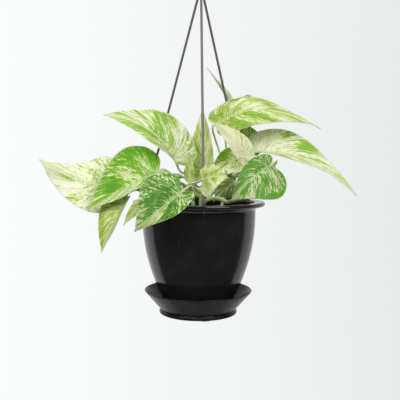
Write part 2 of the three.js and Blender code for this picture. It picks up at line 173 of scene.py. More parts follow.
def skin(points, sides, first, last):
    """Close rings of points, with as many sides each, round a middle point at either end."""
    rings = len(points) // sides
    faces = []
    for ring in range(rings - 1):
        for side in range(sides):
            a = ring * sides + side
            b = ring * sides + (side + 1) % sides
            faces.append((a, b, b + sides, a + sides))
    for end, ring, top in ((first, 0, False), (last, rings - 1, True)):
        middle = len(points)
        points.append(end)
        for side in range(sides):
            a = ring * sides + side
            b = ring * sides + (side + 1) % sides
            faces.append((a, b, middle) if top else (b, a, middle))
    return points, faces


def tube(route, radius_at, sides=16):
    """A closed tube along a route in millimetres: radius_at(share, angle) gives its radius."""
    points = []
    tangent = (route[1] - route[0]).normalized()
    normal = tangent.orthogonal().normalized()
    last = len(route) - 1
    for index, centre in enumerate(route):
        ahead = route[min(index + 1, last)]
        behind = route[max(index - 1, 0)]
        tangent = (ahead - behind).normalized()
        normal = (normal - tangent * normal.dot(tangent)).normalized()
        across = tangent.cross(normal)
        for side in range(sides):
            angle = 2 * math.pi * side / sides
            radius = radius_at(index / last, angle)
            points.append(centre + radius * (math.cos(angle) * normal + math.sin(angle) * across))
    return skin(points, sides, route[0], route[-1])


def join_parts(parts):
    """The points and faces of several closed parts as one list each."""
    points, faces = [], []
    for some_points, some_faces in parts:
        start = len(points)
        points += some_points
        faces += [tuple(start + corner for corner in face) for face in some_faces]
    return points, faces


def turned(profile, segments=ROUND):
    """A profile of (radius, height) points turned about the pot's axis; its ends are on the axis."""
    points = []
    for radius, height in profile[1:-1]:
        for segment in range(segments):
            points.append(round_axis(radius, 2 * math.pi * segment / segments, height))
    return skin(points, segments, Vector((0, 0, profile[0][1])), Vector((0, 0, profile[-1][1])))


def rounded(profile, corner=0.5, steps=4):
    """The same profile with each inner corner cut by a short curve."""
    smooth = [profile[0]]
    for before, here, after in zip(profile, profile[1:-1], profile[2:]):
        before, here, after = Vector(before), Vector(here), Vector(after)
        reach = min(corner, (here - before).length * 0.45, (after - here).length * 0.45)
        start = here + (before - here).normalized() * reach
        end = here + (after - here).normalized() * reach
        for step in range(steps + 1):
            t = step / steps
            smooth.append(tuple(start * (1 - t) ** 2 + here * 2 * t * (1 - t) + end * t**2))
    smooth.append(profile[-1])
    return smooth


def cut(piece, cutter_parts):
    """Cut closed parts, in millimetres, out of a piece."""
    cutter = add_form("cutter", join_parts(cutter_parts))
    modifier = piece.modifiers.new("cut", "BOOLEAN")
    modifier.object = cutter
    modifier.operation = "DIFFERENCE"
    modifier.solver = "EXACT"
    depsgraph = bpy.context.evaluated_depsgraph_get()
    result = bpy.data.meshes.new_from_object(piece.evaluated_get(depsgraph))
    piece.modifiers.clear()
    piece.data = result
    bpy.data.objects.remove(cutter)


# ---- Material helpers ---------------------------------------------------------------


class Nodes:
    """Short calls for the nodes that the materials and the world here are made of."""

    def __init__(self, name, world=False):
        self.owner = (bpy.data.worlds if world else bpy.data.materials).new(name)
        self.owner.use_nodes = True
        self.tree = self.owner.node_tree
        self.tree.nodes.clear()
        self.output = self.node("OutputWorld" if world else "OutputMaterial")

    def node(self, kind, **settings):
        made = self.tree.nodes.new("ShaderNode" + kind)
        for key, value in settings.items():
            setattr(made, key, value)
        return made

    def link(self, value, socket):
        if isinstance(value, bpy.types.NodeSocket):
            self.tree.links.new(value, socket)
        else:
            socket.default_value = value

    def link_colour(self, colour, socket):
        self.link(colour if isinstance(colour, bpy.types.NodeSocket) else (*colour, 1), socket)

    def math(self, operation, a, b=0.0):
        made = self.node("Math", operation=operation)
        self.link(a, made.inputs[0])
        self.link(b, made.inputs[1])
        return made.outputs[0]

    def add(self, a, b):
        return self.math("ADD", a, b)

    def times(self, a, b):
        return self.math("MULTIPLY", a, b)

    def noise(self, vector, scale, detail=3.0, roughness=0.5, distortion=0.0):
        made = self.node("TexNoise")
        self.link(vector, made.inputs["Vector"])
        made.inputs["Scale"].default_value = scale
        made.inputs["Detail"].default_value = detail
        made.inputs["Roughness"].default_value = roughness
        made.inputs["Distortion"].default_value = distortion
        return made.outputs["Fac"]

    def stretch(self, vector, scale, offset=(0, 0, 0)):
        made = self.node("Mapping")
        self.link(vector, made.inputs["Vector"])
        made.inputs["Scale"].default_value = scale
        made.inputs["Location"].default_value = offset
        return made.outputs[0]

    def place_in_object(self):
        return self.node("TexCoord").outputs["Object"]

    def uv(self, layer):
        return self.node("UVMap", uv_map=layer).outputs[0]

    def split(self, vector):
        made = self.node("SeparateXYZ")
        self.link(vector, made.inputs[0])
        return made.outputs

    def step(self, value, low, high, smooth=True):
        """0 below low, 1 above high, and a slope between."""
        made = self.node("MapRange", interpolation_type="SMOOTHSTEP" if smooth else "LINEAR")
        self.link(value, made.inputs["Value"])
        made.inputs["From Min"].default_value = low
        made.inputs["From Max"].default_value = high
        return made.outputs[0]

    def range(self, value, low, high):
        """A 0 to 1 value spread over low to high."""
        made = self.node("MapRange")
        self.link(value, made.inputs["Value"])
        made.inputs["To Min"].default_value = low
        made.inputs["To Max"].default_value = high
        return made.outputs[0]

    def mix(self, factor, a, b, blend="MIX"):
        made = self.node("Mix", data_type="RGBA", blend_type=blend)
        self.link(factor, made.inputs["Factor"])
        self.link_colour(a, made.inputs["A"])
        self.link_colour(b, made.inputs["B"])
        return made.outputs["Result"]

    def ramp(self, value, stops):
        made = self.node("ValToRGB")
        self.link(value, made.inputs[0])
        elements = made.color_ramp.elements
        while len(elements) < len(stops):
            elements.new(0.5)
        for element, (position, colour) in zip(elements, stops):
            element.position = position
            element.color = (*colour, 1)
        return made.outputs["Color"]

    def bump(self, height, strength, distance, normal=None):
        made = self.node("Bump")
        self.link(height, made.inputs["Height"])
        made.inputs["Strength"].default_value = strength
        made.inputs["Distance"].default_value = distance
        if normal is not None:
            self.link(normal, made.inputs["Normal"])
        return made.outputs[0]

    def mix_shaders(self, factor, a, b):
        made = self.node("MixShader")
        for value, socket in zip((factor, a, b), made.inputs):
            self.link(value, socket)
        return made.outputs[0]

    def surface(self, colour, roughness, normal=None, specular=0.5, see_through=0.0):
        """Finish the material: see_through is the share of light that passes through it."""
        shader = self.node("BsdfPrincipled")
        self.link_colour(colour, shader.inputs["Base Color"])
        self.link(roughness, shader.inputs["Roughness"])
        shader.inputs["Specular IOR Level"].default_value = specular
        if normal is not None:
            self.link(normal, shader.inputs["Normal"])
        result = shader.outputs[0]
        if see_through:
            glow = self.node("BsdfTranslucent")
            self.link(colour, glow.inputs["Color"])
            result = self.mix_shaders(see_through, result, glow.outputs[0])
        self.link(result, self.output.inputs["Surface"])
        return self.owner


# ---- Plastic, soil and stem materials -----------------------------------------------

DUST = (0.35, 0.31, 0.27)
BROWN_FILM = (0.036, 0.027, 0.024)


def black_plastic(name, base, worn, roughness, dust, specular):
    """Moulded black plastic: fine upright scuffs, soft gloss patches and a little pale dust."""
    nodes = Nodes(name)
    spot = nodes.place_in_object()
    scuffs = nodes.noise(nodes.stretch(spot, (900, 900, 40)), 1.0, 4, 0.6)
    patches = nodes.noise(spot, 28.0, 3)
    gloss = nodes.range(patches, roughness - 0.05, roughness + 0.05)
    gloss = nodes.add(gloss, nodes.times(nodes.step(scuffs, 0.55, 0.8), 0.12))
    specks = nodes.step(nodes.noise(spot, 900.0, 1, 0.4), 0.74, 0.78)
    sparse = nodes.step(nodes.noise(spot, 70.0, 2), 0.48, 0.62)
    dusty = nodes.times(nodes.times(specks, sparse), dust)
    film = nodes.step(nodes.noise(spot, 55.0, 4, 0.6), 0.42, 0.7)
    colour = nodes.mix(nodes.range(scuffs, 0.0, 0.6), base, worn)
    colour = nodes.mix(nodes.times(film, dust), colour, BROWN_FILM)
    colour = nodes.mix(dusty, colour, DUST)
    normal = nodes.bump(nodes.noise(spot, 160.0, 2), 0.12, 0.0006)
    normal = nodes.bump(scuffs, 0.05, 0.0002, normal)
    return nodes.surface(colour, gloss, normal, specular)


def hanger_plastic():
    """Dark grey plastic with upright streaks, blacker below the lip, where it is in shade."""
    nodes = Nodes("hanger_plastic")
    spot = nodes.place_in_object()
    streaks = nodes.noise(nodes.stretch(spot, (700, 700, 30)), 1.0, 4, 0.6)
    colour = nodes.mix(nodes.range(streaks, 0, 1), (0.088, 0.080, 0.082), (0.150, 0.138, 0.140))
    under_lip = nodes.step(nodes.split(spot)[2], RIM_CENTRE.z, RIM_CENTRE.z - 0.003)
    colour = nodes.mix(under_lip, colour, (0.022, 0.020, 0.020))
    gloss = nodes.range(streaks, 0.34, 0.5)
    return nodes.surface(colour, gloss, nodes.bump(streaks, 0.15, 0.0003))


def soil_material():
    """Dark crumbly mix with paler lumps."""
    nodes = Nodes("potting_mix")
    spot = nodes.place_in_object()
    lumps = nodes.noise(spot, 260.0, 6, 0.65)
    clods = nodes.noise(spot, 60.0, 4, 0.6)
    colour = nodes.ramp(lumps, [
        (0.3, (0.012, 0.008, 0.006)), (0.5, (0.045, 0.028, 0.018)), (0.72, (0.13, 0.085, 0.05)),
    ])
    colour = nodes.mix(nodes.step(clods, 0.5, 0.7), colour, (0.06, 0.036, 0.022))
    normal = nodes.bump(lumps, 0.9, 0.0015)
    return nodes.surface(colour, nodes.range(lumps, 0.75, 0.95), normal)


def bark_material():
    nodes = Nodes("bark_chip")
    spot = nodes.place_in_object()
    grain = nodes.noise(nodes.stretch(spot, (300, 900, 900)), 1.0, 5, 0.65)
    colour = nodes.ramp(grain, [
        (0.3, (0.03, 0.016, 0.009)), (0.55, (0.12, 0.065, 0.034)), (0.75, (0.25, 0.16, 0.09)),
    ])
    return nodes.surface(colour, nodes.range(grain, 0.7, 0.9), nodes.bump(grain, 0.7, 0.0008))


def perlite_material():
    nodes = Nodes("perlite")
    spot = nodes.place_in_object()
    pits = nodes.noise(spot, 1400.0, 3, 0.6)
    colour = nodes.ramp(pits, [(0.35, (0.42, 0.39, 0.34)), (0.55, (0.75, 0.73, 0.68))])
    return nodes.surface(colour, 0.85, nodes.bump(pits, 0.6, 0.0004))


def stem_material():
    """Pale green stalks with darker streaks that run along them, and cream flecks."""
    nodes = Nodes("stem")
    around, along, _ = nodes.split(nodes.uv("Run"))
    run = nodes.node("CombineXYZ")
    nodes.link(nodes.times(around, 3.0), run.inputs[0])
    nodes.link(nodes.times(along, 0.6), run.inputs[1])
    streaks = nodes.noise(run.outputs[0], 3.0, 5, 0.6)
    flecks = nodes.noise(nodes.stretch(run.outputs[0], (1, 3, 1), (4, 2, 0)), 5.0, 3)
    colour = nodes.ramp(streaks, [
        (0.32, (0.28, 0.46, 0.08)), (0.48, (0.50, 0.65, 0.22)), (0.6, (0.76, 0.81, 0.48)),
    ])
    colour = nodes.mix(nodes.step(flecks, 0.58, 0.7), colour, (0.80, 0.78, 0.56))
    normal = nodes.bump(streaks, 0.3, 0.0004)
    return nodes.surface(colour, nodes.range(flecks, 0.35, 0.5), normal, see_through=0.12)


# ---- Leaf material ------------------------------------------------------------------

# Cream, pale, mid and deep colour of each kind of leaf.
PALETTES = {
    # The next palette is cream brightened past the leaf's own colour: painted light, for a cream leaf that
    # lies in the shade of another.
    "cream_painted_light": ((0.96, 0.95, 0.68), (0.80, 0.84, 0.46), (0.50, 0.66, 0.16), (0.30, 0.50, 0.05)),
    "cream": ((0.91, 0.91, 0.71), (0.68, 0.77, 0.38), (0.39, 0.60, 0.075), (0.26, 0.50, 0.03)),
    "lime": ((0.78, 0.82, 0.48), (0.46, 0.66, 0.12), (0.22, 0.50, 0.010), (0.11, 0.39, 0.003)),
    "gold": ((0.83, 0.84, 0.56), (0.58, 0.69, 0.20), (0.35, 0.54, 0.035), (0.20, 0.41, 0.012)),
    # The next palette is the leaf green darkened into painted shade, for a leaf that lies in the shade of
    # others.
    "olive_painted_shade": ((0.55, 0.60, 0.30), (0.30, 0.40, 0.12), (0.17, 0.26, 0.045), (0.11, 0.18, 0.03)),
    "glow": ((0.90, 0.90, 0.60), (0.72, 0.80, 0.30), (0.48, 0.66, 0.07), (0.30, 0.54, 0.025)),
    "marble": ((0.74, 0.79, 0.48), (0.37, 0.56, 0.15), (0.120, 0.35, 0.012), (0.055, 0.22, 0.004)),
    "vivid": ((0.68, 0.75, 0.44), (0.34, 0.53, 0.13), (0.125, 0.33, 0.020), (0.105, 0.37, 0.002)),
}
UNDERSIDE = (0.52, 0.62, 0.34)
GREEN_REACH = 0.36              # how far greenness from 0 to 1 moves the marbling


def leaf_material(leaf, seed):
    """Marbling in streaks along the side veins, a pale midrib and margin, and a dull underside.

    The blade's UV layers give its own coordinates: Vein is centimetres out from the midrib and
    along it, Share the same as shares of the blade, and Side the underside and the greenness.
    """
    cream, pale, mid, deep = PALETTES[leaf["palette"]]
    nodes = Nodes("marbling_" + leaf["name"])
    vein = nodes.uv("Vein")
    from_midrib, up_midrib, _ = nodes.split(vein)
    from_midrib = nodes.math("ABSOLUTE", from_midrib)
    across, along, _ = nodes.split(nodes.uv("Share"))
    under, amount, _ = nodes.split(nodes.uv("Side"))
    shift = (seed * 3.7, seed * 5.3, seed * 1.9)

    patch = nodes.noise(nodes.stretch(vein, (0.35, 0.9, 1), shift), 1.0, 2, 0.5, 0.3)
    streak = nodes.noise(nodes.stretch(vein, (1.1, 4.6, 1), shift), 1.0, 3, 0.55, 0.8)
    fleck = nodes.noise(nodes.stretch(vein, (3.6, 12.0, 1), shift), 1.0, 2, 0.6, 0.7)
    amount = nodes.add(amount, 0.5)
    for pattern, weight in ((patch, 0.35), (streak, 0.65), (fleck, 0.65)):
        change = nodes.math("SUBTRACT", pattern, 0.5)
        amount = nodes.add(amount, nodes.times(change, weight))
    colour = nodes.ramp(amount, [
        (0.455, cream), (0.475, pale), (0.492, pale), (0.506, mid), (0.575, mid), (0.61, deep),
    ])

    spacing = Midrib(leaf).length / CM / VEIN_COUNT
    ribs = nodes.math("ABSOLUTE", nodes.math("SINE", nodes.times(up_midrib, math.pi / spacing)))
    colour = nodes.mix(nodes.times(nodes.step(ribs, 0.2, 0.0), 0.2), colour, pale)
    from_middle = nodes.math("ABSOLUTE", nodes.math("SUBTRACT", across, 0.5))
    margin = nodes.step(from_middle, 0.482, 0.496)
    colour = nodes.mix(nodes.times(margin, 0.75), colour, cream)
    midrib = nodes.math("SUBTRACT", from_midrib, nodes.range(along, 0.0, 0.09))
    midrib = nodes.step(midrib, 0.13, 0.07)
    colour = nodes.mix(nodes.times(midrib, 0.7), colour, nodes.mix(0.5, pale, cream))
    colour = nodes.mix(nodes.times(under, 0.45), colour, UNDERSIDE)
    shade = nodes.noise(nodes.stretch(vein, (0.5, 2.2, 1), shift), 1.0, 3)
    colour = nodes.mix(1.0, colour, nodes.range(shade, 0.8, 1.22), "MULTIPLY")

    normal = nodes.bump(nodes.add(ribs, nodes.times(streak, 0.8)), 0.5, 0.0007)
    normal = nodes.bump(nodes.noise(vein, 55.0, 2), 0.2, 0.0002, normal)
    gloss = nodes.add(nodes.range(streak, 0.34, 0.5), nodes.times(under, 0.2))
    return nodes.surface(colour, gloss, normal, specular=0.3, see_through=0.3)


# ---- Leaves -------------------------------------------------------------------------

# Base, tip and bow of a leaf's midrib, the way its face looks, its half-widths left and right of
# the midrib, and how far each half folds up, in degrees. fold_tip is the fold at the tip where
# it differs. wave is the height of the ripples at the margin, lobe makes the two lobes beside the
# stalk shorter, and tooth is a point on the margin: (side, place along, how far it sticks out).
# green is how green a leaf is, from 0 cream to 1 solid green, and each patch changes that round
# one spot: (across, along, spread across, spread along, change).
LEAVES = [
    {"name": "leaf_far_left", "base": (-91, -4, 19), "tip": (-179, -12, 48), "bow": (0, 0, -8),
     "face": (-0.1, -0.8, 0.6), "half": (38, 42), "fold": (0, 4), "fold_tip": (0, -40), "wave": 1.5,
     "palette": "cream", "green": 0.35,
     "patches": [(-0.3, 0.66, 0.16, 0.1, 0.5), (-0.1, 0.4, 0.1, 0.15, 0.15), (0.5, 0.2, 0.2, 0.1, 0.12)]},
    {"name": "leaf_left", "base": (-46, -25, 35), "tip": (-119, -45, -7), "bow": (0, 0, 3),
     "face": (-0.3, -0.5, 0.8), "half": (24, 43), "fold": (10, 38), "wave": 1.2,
     "palette": "lime", "green": 0.5,
     "patches": [(0.85, 0.1, 0.35, 0.28, 0.5), (0.55, 0.33, 0.3, 0.08, -0.22), (0.4, 0.62, 0.35, 0.1, 0.5),
                 (0.3, 0.85, 0.5, 0.12, 0.2), (-0.6, 0.5, 0.5, 0.6, -0.1)]},
    {"name": "leaf_left_hanging", "base": (-80, -38, 5), "tip": (-105, -42, -52), "bow": (-1, -2, 0),
     "face": (-0.4, -0.9, 0.2), "half": (17, 22), "fold": (50, 8), "wave": 0.8,
     "palette": "glow", "green": 0.5,
     "patches": [(-0.6, 0.5, 0.5, 0.8, -0.15), (0.9, 0.6, 0.2, 0.3, 0.3)]},
    {"name": "leaf_left_small", "base": (-61, -54, 3), "tip": (-80, -55, -21), "bow": (0, -1, 1),
     "face": (-0.4, -0.8, 0.4), "half": (7, 7), "fold": (15, 15), "wave": 0.3,
     "palette": "glow", "green": 0.5, "patches": []},
    {"name": "leaf_front_left", "base": (-17, -78, 17), "tip": (-65, -84, -24), "bow": (-1, -3, 0),
     "face": (0.0, -0.9, 0.4), "half": (25, 37), "fold": (35, -8), "fold_tip": (50, -8), "wave": 0.8,
     "palette": "marble", "green": 0.465,
     "patches": [(0.5, 0.5, 0.35, 0.22, 0.4), (0.2, 0.3, 0.25, 0.2, 0.35), (-0.4, 0.35, 0.2, 0.12, 0.3),
                 (-0.7, 0.0, 0.5, 0.1, 0.2), (0.8, -0.05, 0.4, 0.12, 0.08), (0.5, 0.85, 0.5, 0.1, -0.1)]},
    {"name": "leaf_upper_left", "base": (-25, -4, 43), "tip": (-108, -10, 98), "bow": (8, 0, 13),
     "face": (0.2, -0.7, 0.7), "half": (26, 35), "fold": (60, 12), "fold_tip": (-25, 12),
     "lobe": 0.6, "wave": 1.2, "palette": "cream", "green": 0.44,
     "patches": [(0.9, 0.42, 0.25, 0.07, 0.35), (0.3, 0.4, 0.25, 0.05, 0.3), (0.75, -0.03, 0.2, 0.12, 0.4),
                 (0.5, 0.2, 0.3, 0.1, -0.1), (-0.5, 0.6, 0.6, 0.35, 0.35), (0.2, 0.75, 0.2, 0.08, 0.15)]},
    {"name": "leaf_centre_upright", "base": (5, 20, 30), "tip": (3, 18, 110), "bow": (0, 0, 0),
     "face": (-0.3, -0.9, 0.2), "half": (17, 15), "fold": (20, 20), "wave": 0.8,
     "palette": "glow", "green": 0.5,
     "patches": [(-0.8, 0.4, 0.4, 0.4, 0.25), (0, 0.95, 1, 0.3, -0.4)]},
    {"name": "leaf_upper_right", "base": (21, 0, 90), "tip": (135, -9, 85), "bow": (-6, 0, 18),
     "face": (0, -0.45, 0.9), "half": (27, 30), "fold": (28, -16), "fold_tip": (-10, -16),
     "lobe": 0.5, "wave": 1.2, "tooth": (-1, 0.36, 5), "palette": "gold", "green": 0.5,
     "patches": [(-0.7, 0.05, 0.4, 0.15, 0.15), (-0.5, 0.32, 0.4, 0.12, -0.25), (-0.8, 0.55, 0.3, 0.1, 0.25),
                 (-0.95, 0.26, 0.12, 0.07, 0.6), (0.6, 0.25, 0.5, 0.3, 0.15), (0, 0.95, 1, 0.12, -0.15)]},
    # This leaf's palette is its own cream with painted light added.
    {"name": "leaf_cream_folded", "base": (49, -46, 50), "tip": (12, -58, 88), "bow": (3, 0, 2),
     "face": (0.15, -0.9, 0.45), "half": (10, 15), "fold": (10, 10), "wave": 0.6,
     "palette": "cream_painted_light", "green": 0.12, "patches": []},
    {"name": "leaf_right", "base": (60, -2, 60), "tip": (173, -26, 12), "bow": (0, 0, 15),
     "face": (0.2, -0.5, 0.85), "half": (32, 17), "fold": (30, 12), "fold_tip": (15, 12),
     "lobe": 0.4, "wave": 1.2, "palette": "cream", "green": 0.33,
     "patches": [(-0.4, 0.15, 0.6, 0.2, -0.2), (-0.8, 0.5, 0.3, 0.12, 0.5), (-0.75, 0.3, 0.22, 0.06, 0.4),
                 (0.5, 0.4, 0.5, 0.5, 0.12), (0, 0.9, 1, 0.1, 0.1)]},
    {"name": "leaf_front_right", "base": (77, -39, 44), "tip": (33, -64, 7), "bow": (-2, -4, 3),
     "face": (0.1, -0.9, 0.45), "half": (35, 17), "fold": (-5, 15), "wave": 1,
     "palette": "vivid", "green": 0.53,
     "patches": [(-1, 0.2, 0.16, 0.35, 0.6), (-0.6, 0.3, 0.25, 0.3, -0.03), (0.2, 0.2, 0.12, 0.2, 0.25),
                 (-1, 0.75, 0.2, 0.15, -0.3), (0.8, 0.7, 0.4, 0.25, 0.2)]},
    {"name": "leaf_centre_front", "base": (3, -70, 29), "tip": (29, -86, 32), "bow": (0, -3, 3),
     "face": (-0.2, -0.9, 0.3), "half": (13, 22), "fold": (0, 5), "wave": 0.6,
     "palette": "glow", "green": 0.5,
     "patches": [(0.8, 0.3, 0.4, 0.5, -0.3), (0.3, 0.4, 0.15, 0.3, 0.2)]},
    {"name": "leaf_centre_marbled", "base": (48, -29, 52), "tip": (12, -35, 38), "bow": (-2, 0, 2),
     "face": (-0.1, -0.8, 0.6), "half": (18, 15), "fold": (0, 20), "wave": 0.8,
     "palette": "gold", "green": 0.4,
     "patches": [(0.85, 0.4, 0.3, 0.5, 0.5), (-0.9, 0.5, 0.3, 0.6, -0.15)]},
    {"name": "leaf_top_unfurling", "base": (38, 32, 106), "tip": (8, 34, 157), "bow": (4, 0, -2),
     "face": (0.6, -0.6, 0.5), "half": (8, 8), "fold": (60, 60), "lobe": 0.3, "wave": 0.3,
     "palette": "cream", "green": 0.4, "patches": []},
    {"name": "leaf_right_behind", "base": (60, 22, 58), "tip": (45, 20, 93), "bow": (3, 0, 2),
     "face": (0, -0.9, 0.4), "half": (15, 15), "fold": (10, 10), "wave": 0.6,
     "palette": "glow", "green": 0.62, "patches": []},
    {"name": "leaf_small_blade", "base": (-10, -14, 26), "tip": (-7, -14, 54), "bow": (-2, 0, 0),
     "face": (-0.3, -0.9, 0.1), "half": (7, 7), "fold": (25, 25), "wave": 0.3,
     "palette": "glow", "green": 0.5, "patches": []},
    # This leaf's dark palette is painted shade over its own green.
    {"name": "leaf_centre_shaded", "base": (40, -33, 26), "tip": (15, -41, 4), "bow": (0, -2, 2),
     "face": (-0.2, -0.7, 0.7), "half": (14, 14), "fold": (15, 15), "wave": 0.6,
     "palette": "olive_painted_shade", "green": 0.6, "patches": []},
    {"name": "leaf_back_left", "base": (-34, 50, 28), "tip": (-92, 92, 12), "bow": (0, 0, 8),
     "face": (-0.2, 0.3, 0.9), "half": (25, 25), "fold": (12, 12), "wave": 1.5,
     "palette": "marble", "green": 0.52,
     "patches": [(0.6, 0.3, 0.3, 0.2, 0.3), (-0.4, 0.6, 0.3, 0.15, 0.3)]},
    {"name": "leaf_back", "base": (2, 55, 12), "tip": (4, 120, -16), "bow": (0, 0, 8),
     "face": (0.1, 0.4, 0.9), "half": (27, 27), "fold": (12, 12), "wave": 1.5,
     "palette": "lime", "green": 0.55, "patches": [(-0.6, 0.3, 0.3, 0.2, 0.3), (0.4, 0.5, 0.4, 0.1, -0.2)]},
    {"name": "leaf_back_right", "base": (30, 54, 28), "tip": (86, 104, 10), "bow": (0, 0, 9),
     "face": (0.2, 0.3, 0.9), "half": (26, 26), "fold": (12, 12), "wave": 1.5,
     "palette": "cream", "green": 0.42, "patches": [(0.5, 0.4, 0.3, 0.1, 0.3)]},
    {"name": "leaf_back_hanging_left", "base": (-41, 74, 11), "tip": (-52, 94, -44), "bow": (-1, 6, 3),
     "face": (-0.3, 0.9, 0.3), "half": (19, 19), "fold": (10, 10), "wave": 1,
     "palette": "marble", "green": 0.5, "patches": [(0.4, 0.3, 0.3, 0.2, 0.2)]},
    {"name": "leaf_back_hanging_right", "base": (46, 71, 10), "tip": (46, 94, -48), "bow": (1, 6, 3),
     "face": (0.2, 0.9, 0.3), "half": (20, 20), "fold": (10, 10), "wave": 1,
     "palette": "lime", "green": 0.55, "patches": [(-0.5, 0.4, 0.3, 0.2, 0.3)]},
]

# The outline of a blade from the notch at the stalk to the tip. Each point is where a side vein
# ends: (where the vein leaves the midrib, how far out it ends, how far along it ends), as
# shares of the blade's length and half-width.
OUTLINE = [
    (0, 0, 0), (0.006, 0.18, -0.065), (0.012, 0.37, -0.11), (0.02, 0.58, -0.09), (0.032, 0.77, -0.02),
    (0.048, 0.9, 0.08), (0.07, 0.98, 0.18), (0.1, 1, 0.28), (0.14, 0.95, 0.38), (0.19, 0.84, 0.48),
    (0.26, 0.7, 0.58), (0.35, 0.53, 0.68), (0.46, 0.35, 0.79), (0.6, 0.19, 0.88), (0.74, 0.08, 0.94),
    (0.88, 0.03, 0.98), (1, 0.004, 1),
]
BLADE_MIDDLE = 0.55              # thickness of a blade at its midrib and at its edge
BLADE_EDGE = 0.22
VEIN_COUNT = 13                  # raised side veins on each half


class Midrib:
    """The quadratic curve that a leaf's midrib follows."""

    def __init__(self, leaf):
        self.base = Vector(leaf["base"])
        self.tip = Vector(leaf["tip"])
        self.bend = (self.base + self.tip) / 2 + 2 * Vector(leaf["bow"])
        steps = [self.at(step / 40) for step in range(41)]
        self.length = sum((b - a).length for a, b in zip(steps, steps[1:]))

    def at(self, t):
        if t < 0:
            return self.base + self.tangent(0) * (t * self.length)
        return self.base * (1 - t) ** 2 + self.bend * 2 * t * (1 - t) + self.tip * t**2

    def tangent(self, t):
        t = max(t, 0)
        return ((self.bend - self.base) * (1 - t) + (self.tip - self.bend) * t).normalized()


def blade_point(leaf, rib, seed, vein, across):
    """A point of the blade, the way it faces there, its place along and its distance out.

    The blade rises from its midrib by its fold, by ripples at the margin, by the quilting
    between side veins, by soft puckers, and by a groove along the midrib.
    """
    share, root, width, end = vein
    side = 0 if across < 0 else 1
    reach = abs(across)
    if end < 0:
        end *= leaf.get("lobe", 1)
    along = root + (end - root) * reach**1.5
    out = reach**0.85 * width * leaf["half"][side]
    tangent = rib.tangent(along)
    up = Vector(leaf["face"])
    up = (up - tangent * up.dot(tangent)).normalized()
    right = tangent.cross(up)
    fold = leaf["fold"][side]
    fold_tip = leaf.get("fold_tip", leaf["fold"])[side]
    lean = math.radians(fold + (fold_tip - fold) * max(along, 0))
    tooth_side, tooth_place, tooth_height = leaf.get("tooth", (0, 0, 0))
    if math.copysign(1, across) == tooth_side:
        out += tooth_height * reach**6 * math.exp(-(((end - tooth_place) / 0.03) ** 2))
    soft_out = math.sqrt(out**2 + 9) - 3
    tip_fade = min(1, 4 * (1 - max(along, 0)))
    wave = leaf["wave"] * math.sin(2 * math.pi * (2.2 * share + 0.3 * side + 0.13 * seed)) * reach**2
    quilt = 0.1 * math.cos(2 * math.pi * VEIN_COUNT * share) * min(1, out / 4) * (1 - reach**4)
    pucker = 0.9 * noise.noise(Vector((across * 1.6, share * 4.5, seed * 7.1))) * min(1, out / 6)
    groove = -0.45 * math.exp(-((out / 0.9) ** 2)) * (1 - 0.7 * max(along, 0))
    rise = soft_out * math.sin(lean) + (wave + pucker) * tip_fade + quilt + groove
    point = rib.at(along) + right * math.copysign(out * math.cos(lean), across) + up * rise
    return point, up, along, out


def greenness(leaf, across, along):
    """How green the blade is at one spot: its own level and what each patch adds there."""
    total = leaf["green"]
    for centre_across, centre_along, spread_across, spread_along, change in leaf["patches"]:
        gap_across = (across - centre_across) / spread_across
        gap_along = (along - centre_along) / spread_along
        total += change * math.exp(-(gap_across**2 + gap_along**2))
    return total


def sheet_faces(rows, columns):
    """Faces of two sheets of points, one over the other, and of the edge between them."""
    sheet = rows * columns
    faces = []
    for row in range(rows - 1):
        for column in range(columns - 1):
            a = row * columns + column
            b = a + columns
            faces.append((a, a + 1, b + 1, b))
            faces.append((sheet + a, sheet + b, sheet + b + 1, sheet + a + 1))
    edge = list(range(columns))
    edge += [(row + 1) * columns - 1 for row in range(1, rows)]
    edge += [sheet - 2 - column for column in range(columns - 1)]
    edge += [sheet - (row + 2) * columns for row in range(rows - 1)]
    for a, b in zip(edge, edge[1:]):
        faces.append((a, sheet + a, sheet + b, b))
    return faces


def make_blade(leaf, seed):
    """A closed thin blade, with the leaf's own coordinates in its UV layers for the marbling."""
    rib = Midrib(leaf)
    columns = [i / LEAF_HALF_COLUMNS for i in range(-LEAF_HALF_COLUMNS, LEAF_HALF_COLUMNS + 1)]
    shares = [0.012 + 0.988 * row / (LEAF_ROWS - 1) for row in range(LEAF_ROWS)]
    outline = catmull(OUTLINE, 1001)
    veins = [(share, *outline[round(share * 1000)]) for share in shares]
    points, facts = [], []
    for under in (0, 1):
        for vein in veins:
            for across in columns:
                point, up, along, out = blade_point(leaf, rib, seed, vein, across)
                rib_bulge = 1.1 * math.exp(-((out / 1.1) ** 2)) * (1 - 0.8 * max(along, 0))
                thickness = BLADE_EDGE + (BLADE_MIDDLE - BLADE_EDGE) * (1 - abs(across)) + rib_bulge
                points.append(point - up * thickness * under)
                from_midrib = math.copysign(out, across) / CM
                up_midrib = vein[0] * rib.length / CM
                green = (greenness(leaf, across, along) - 0.5) * GREEN_REACH
                facts.append((from_midrib, up_midrib, across / 2 + 0.5, along, under, green))
    faces = sheet_faces(LEAF_ROWS, len(columns))
    piece = add_form(leaf["name"].replace("leaf_", "blade_"), (points, faces))
    layers = [piece.data.uv_layers.new(name=name) for name in ("Vein", "Share", "Side")]
    for loop in piece.data.loops:
        fact = facts[loop.vertex_index]
        for index, layer in enumerate(layers):
            layer.data[loop.index].uv = fact[2 * index : 2 * index + 2]
    return finish_piece(piece, leaf["name"], leaf_material(leaf, seed))


# ---- Stems and stalks ---------------------------------------------------------------

